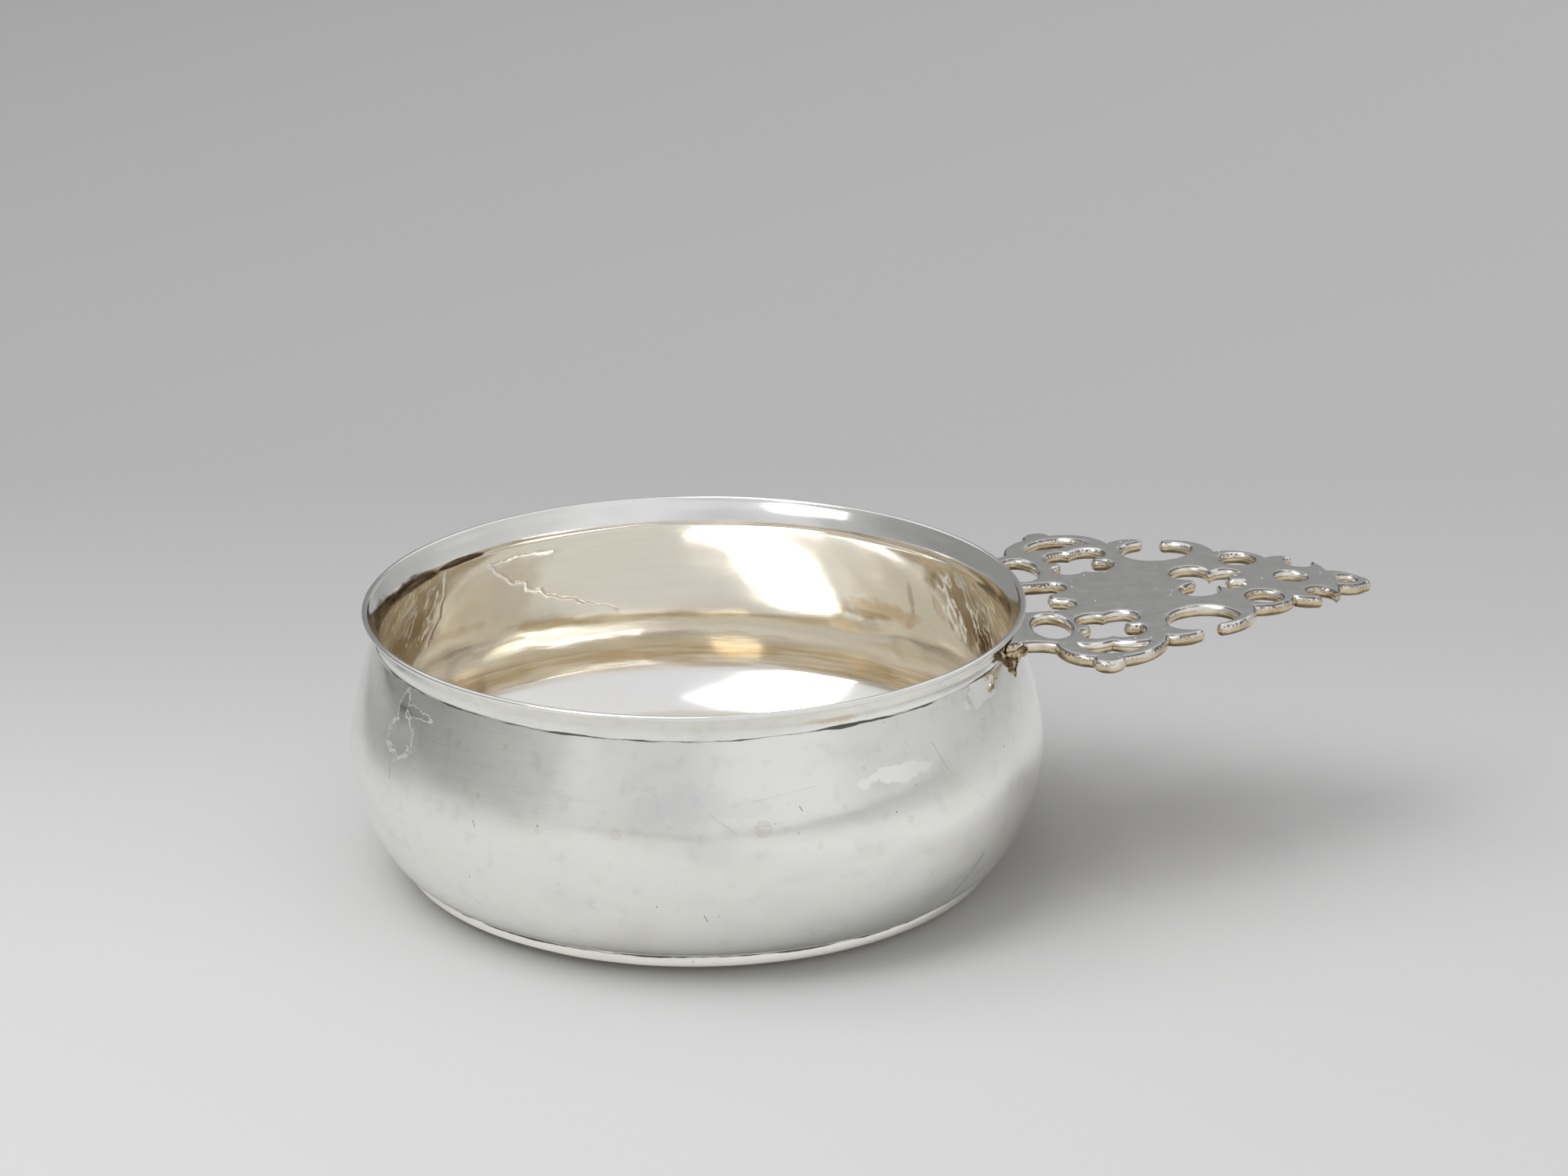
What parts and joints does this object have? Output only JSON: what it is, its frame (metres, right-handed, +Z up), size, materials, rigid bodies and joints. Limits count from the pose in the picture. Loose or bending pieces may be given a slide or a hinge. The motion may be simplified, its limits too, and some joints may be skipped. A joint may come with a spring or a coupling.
{
  "type": "porringer",
  "caption": "Shallow round metal bowl with a flared lip, bulging wall and domed base, and one flat pierced handle soldered under the lip.",
  "frame": {"origin": "middle of the overall length and width, on the plane that the bowl stands on", "axes": "+Z up along the bowl's axis, +X outward along the handle"},
  "size_m": [0.2046, 0.137, 0.0541],
  "materials": {
    "silver": "hammered and polished silver, softly worn",
    "cast_silver": "cast silver with a filed, polished top and tarnished sides",
    "solder": "rough, oxidised hard solder"
  },
  "bodies": {
    "root": {"bowl": "silver", "handle": "cast_silver", "solder_near": "solder", "solder_far": "solder"}
  },
  "joints": []
}
